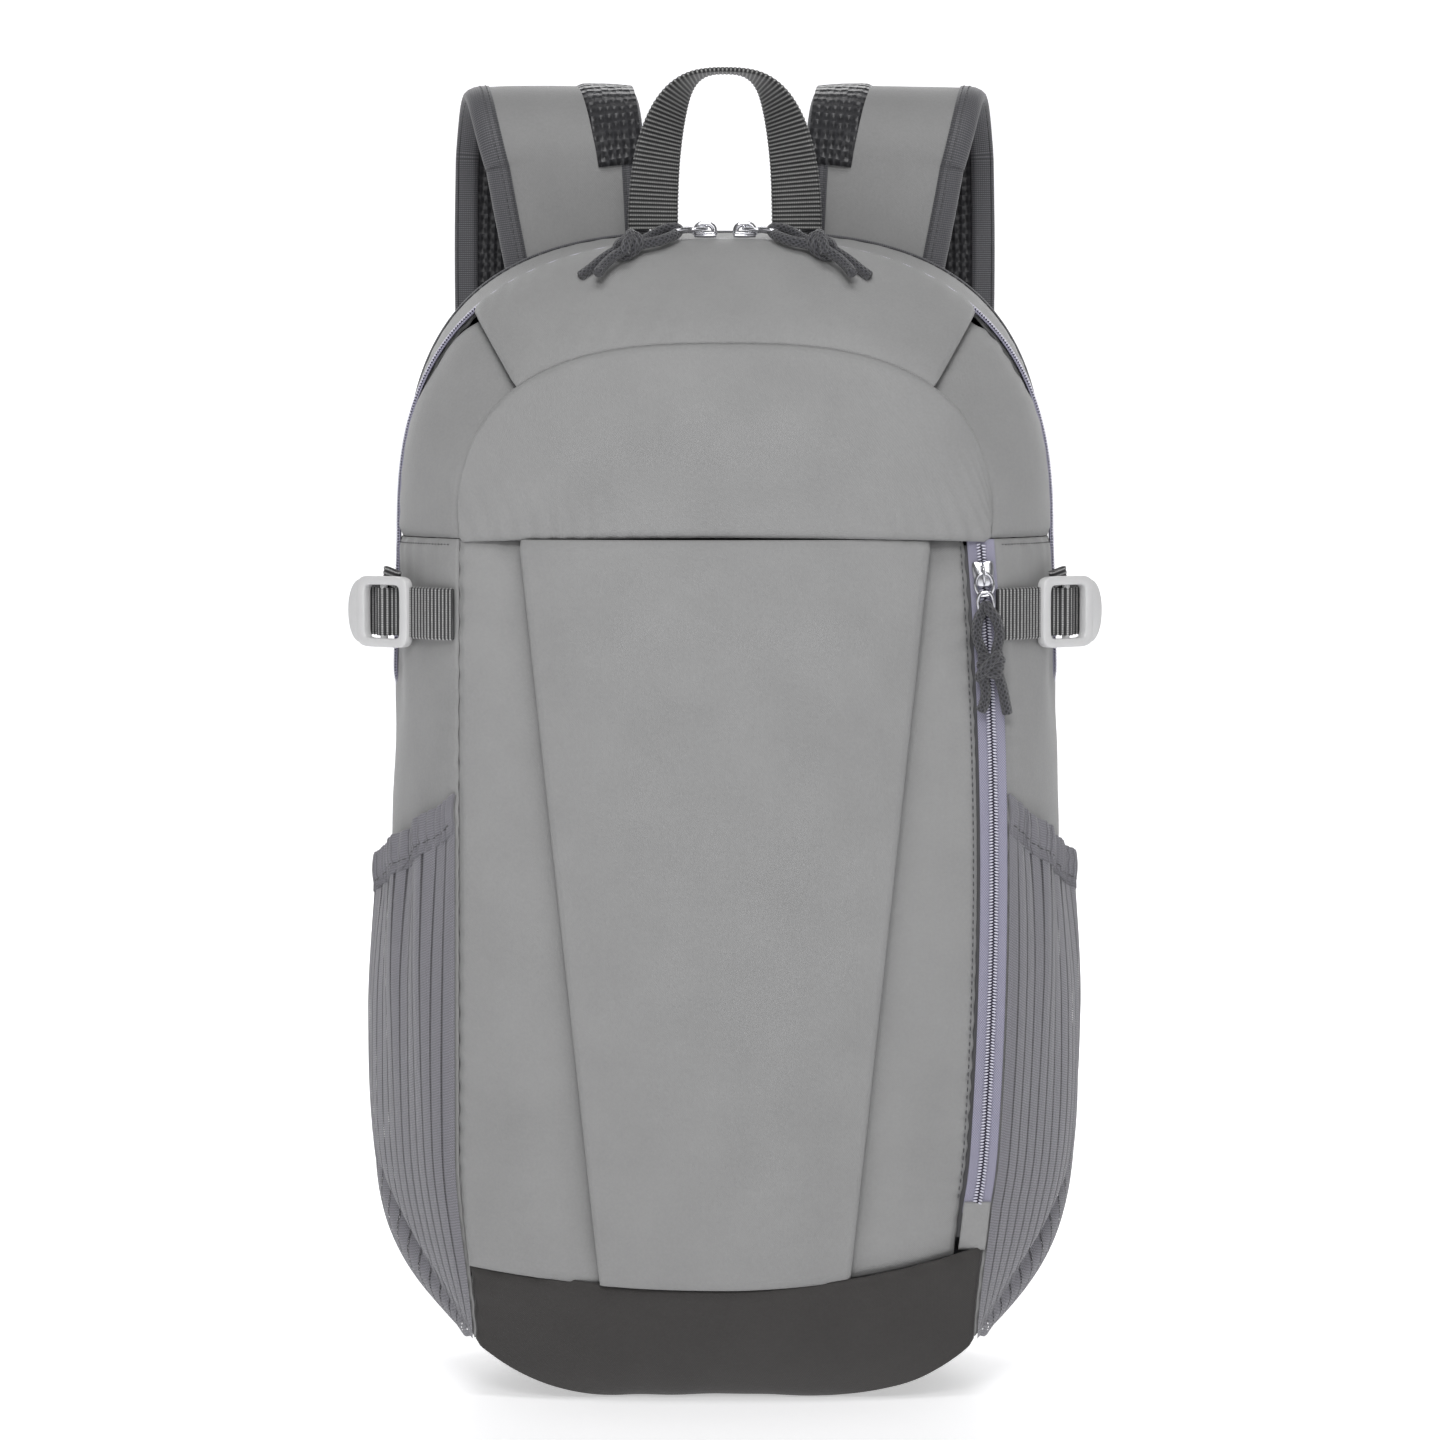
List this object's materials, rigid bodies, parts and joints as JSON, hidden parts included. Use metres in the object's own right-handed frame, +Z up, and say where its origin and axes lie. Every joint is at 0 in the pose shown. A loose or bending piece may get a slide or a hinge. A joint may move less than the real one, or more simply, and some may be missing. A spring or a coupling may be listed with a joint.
{
  "type": "daypack",
  "caption": "Light hiking daypack with an arched zipped main compartment, zipped front pocket, mesh bottle pockets, grab handle and padded shoulder straps.",
  "frame": {"origin": "on the ground under the middle of the body's flat underside", "axes": "+Z up, -Y the front with the zipped pocket, +Y the wearer's side, +X the viewer's right from the front"},
  "size_m": [0.2946, 0.2127, 0.53],
  "materials": {
    "shell_fabric": "plain-woven nylon, soft sheen",
    "boot_fabric": "dark plain-woven nylon",
    "air_mesh": "spacer mesh over foam",
    "lining": "light woven lining",
    "board": "stiff foam board",
    "pocket_mesh": "stretch knit mesh",
    "zip_tape": "woven tape",
    "zip_coil": "spiral nylon coil",
    "webbing": "ribbed two-tone webbing",
    "handle_webbing": "ribbed webbing",
    "binding": "grosgrain tape",
    "puller_cord": "braided cord",
    "zip_metal": "bright plated",
    "buckle_plastic": "moulded",
    "dark_plastic": "moulded"
  },
  "bodies": {
    "pack": {"back_panel": "air_mesh", "back_stiffener": "board", "laptop_sleeve": "lining", "rear_gusset": "shell_fabric", "crown_panel": "shell_fabric", "upper_side_left": "shell_fabric", "upper_side_right": "shell_fabric", "side_panel_left": "shell_fabric", "side_panel_right": "shell_fabric", "front_yoke": "shell_fabric", "pocket_side_left": "shell_fabric", "pocket_side_right": "shell_fabric", "pocket_pleat_panel": "shell_fabric", "pocket_divider": "lining", "base_boot": "boot_fabric", "main_zip_tape": "zip_tape", "main_zip_coil": "zip_coil", "pocket_zip_tape": "zip_tape", "pocket_zip_coil": "zip_coil", "pocket_zip_end": "shell_fabric", "mesh_pocket_left": "pocket_mesh", "mesh_pocket_right": "pocket_mesh", "pocket_hem_left": "pocket_mesh", "pocket_hem_right": "pocket_mesh", "compression_strap_left": "webbing", "compression_strap_right": "webbing", "compression_tail_left": "webbing", "compression_tail_right": "webbing", "strap_anchor": "boot_fabric", "strap_tab_left": "boot_fabric", "strap_tab_right": "boot_fabric", "lower_webbing_left": "webbing", "lower_webbing_right": "webbing"},
    "grab_handle": {"grab_handle": "handle_webbing"},
    "main_slider_left": {"main_slider_left": "zip_metal"},
    "main_pull_left": {"main_link_left": "zip_metal", "main_cord_left": "puller_cord"},
    "side_buckle_left": {"side_buckle_left": "buckle_plastic"},
    "shoulder_strap_left": {"strap_pad_left": "air_mesh", "strap_cover_left": "shell_fabric", "strap_binding_left": "binding"},
    "adjuster_left": {"adjuster_left": "dark_plastic"},
    "main_slider_right": {"main_slider_right": "zip_metal"},
    "main_pull_right": {"main_link_right": "zip_metal", "main_cord_right": "puller_cord"},
    "side_buckle_right": {"side_buckle_right": "buckle_plastic"},
    "shoulder_strap_right": {"strap_pad_right": "air_mesh", "strap_cover_right": "shell_fabric", "strap_binding_right": "binding"},
    "adjuster_right": {"adjuster_right": "dark_plastic"},
    "pocket_slider": {"pocket_slider": "zip_metal"},
    "pocket_pull": {"pocket_link": "zip_metal", "pocket_cord": "puller_cord"}
  },
  "joints": [
    {"name": "handle_fold", "type": "hinge", "parent": "pack", "child": "grab_handle", "pos_m": [0, 0.058, 0.464], "axis": [-1, 0, 0], "range_deg": [-70, 5], "stiffness_Nm_per_rad": 0.02},
    {"name": "main_zip_left", "type": "hinge", "parent": "pack", "child": "main_slider_left", "pos_m": [-0.01112, 0.003, 0.26302], "axis": [0, -1, 0], "range_deg": [0, 16]},
    {"name": "main_zip_right", "type": "hinge", "parent": "pack", "child": "main_slider_right", "pos_m": [0.01112, 0.003, 0.26302], "axis": [0, 1, 0], "range_deg": [0, 16]},
    {"name": "main_pull_left", "type": "hinge", "parent": "main_slider_left", "child": "main_pull_left", "pos_m": [-0.008, 0.003, 0.46277], "axis": [-0.5299, 0.848, 0], "range_deg": [0, 85]},
    {"name": "main_pull_right", "type": "hinge", "parent": "main_slider_right", "child": "main_pull_right", "pos_m": [0.008, 0.003, 0.46277], "axis": [-0.5299, -0.848, 0], "range_deg": [0, 85]},
    {"name": "pocket_zip", "type": "hinge", "parent": "pack", "child": "pocket_slider", "pos_m": [-1.48075, -0.05066, 0.208], "axis": [0, 0.9991, -0.0428], "range_deg": [0, 6.9]},
    {"name": "pocket_pull", "type": "hinge", "parent": "pocket_slider", "child": "pocket_pull", "pos_m": [0.10161, -0.0497, 0.32618], "axis": [-0.9972, -0.0032, -0.0743], "range_deg": [0, 110]},
    {"name": "side_buckle_left", "type": "hinge", "parent": "pack", "child": "side_buckle_left", "pos_m": [-0.1265, -0.02729, 0.31], "axis": [0, 0, 1], "range_deg": [0, 35]},
    {"name": "side_buckle_right", "type": "hinge", "parent": "pack", "child": "side_buckle_right", "pos_m": [0.1265, -0.02729, 0.31], "axis": [0, 0, -1], "range_deg": [0, 35]},
    {"name": "shoulder_strap_left", "type": "hinge", "parent": "pack", "child": "shoulder_strap_left", "pos_m": [-0.06, 0.071, 0.463], "axis": [1, 0, 0], "range_deg": [0, 12]},
    {"name": "shoulder_strap_right", "type": "hinge", "parent": "pack", "child": "shoulder_strap_right", "pos_m": [0.06, 0.071, 0.463], "axis": [1, 0, 0], "range_deg": [0, 12]},
    {"name": "adjuster_left", "type": "hinge", "parent": "shoulder_strap_left", "child": "adjuster_left", "pos_m": [-0.08, 0.1072, 0.1281], "axis": [1, 0, 0], "range_deg": [0, 40]},
    {"name": "adjuster_right", "type": "hinge", "parent": "shoulder_strap_right", "child": "adjuster_right", "pos_m": [0.08, 0.1072, 0.1281], "axis": [1, 0, 0], "range_deg": [0, 40]}
  ]
}
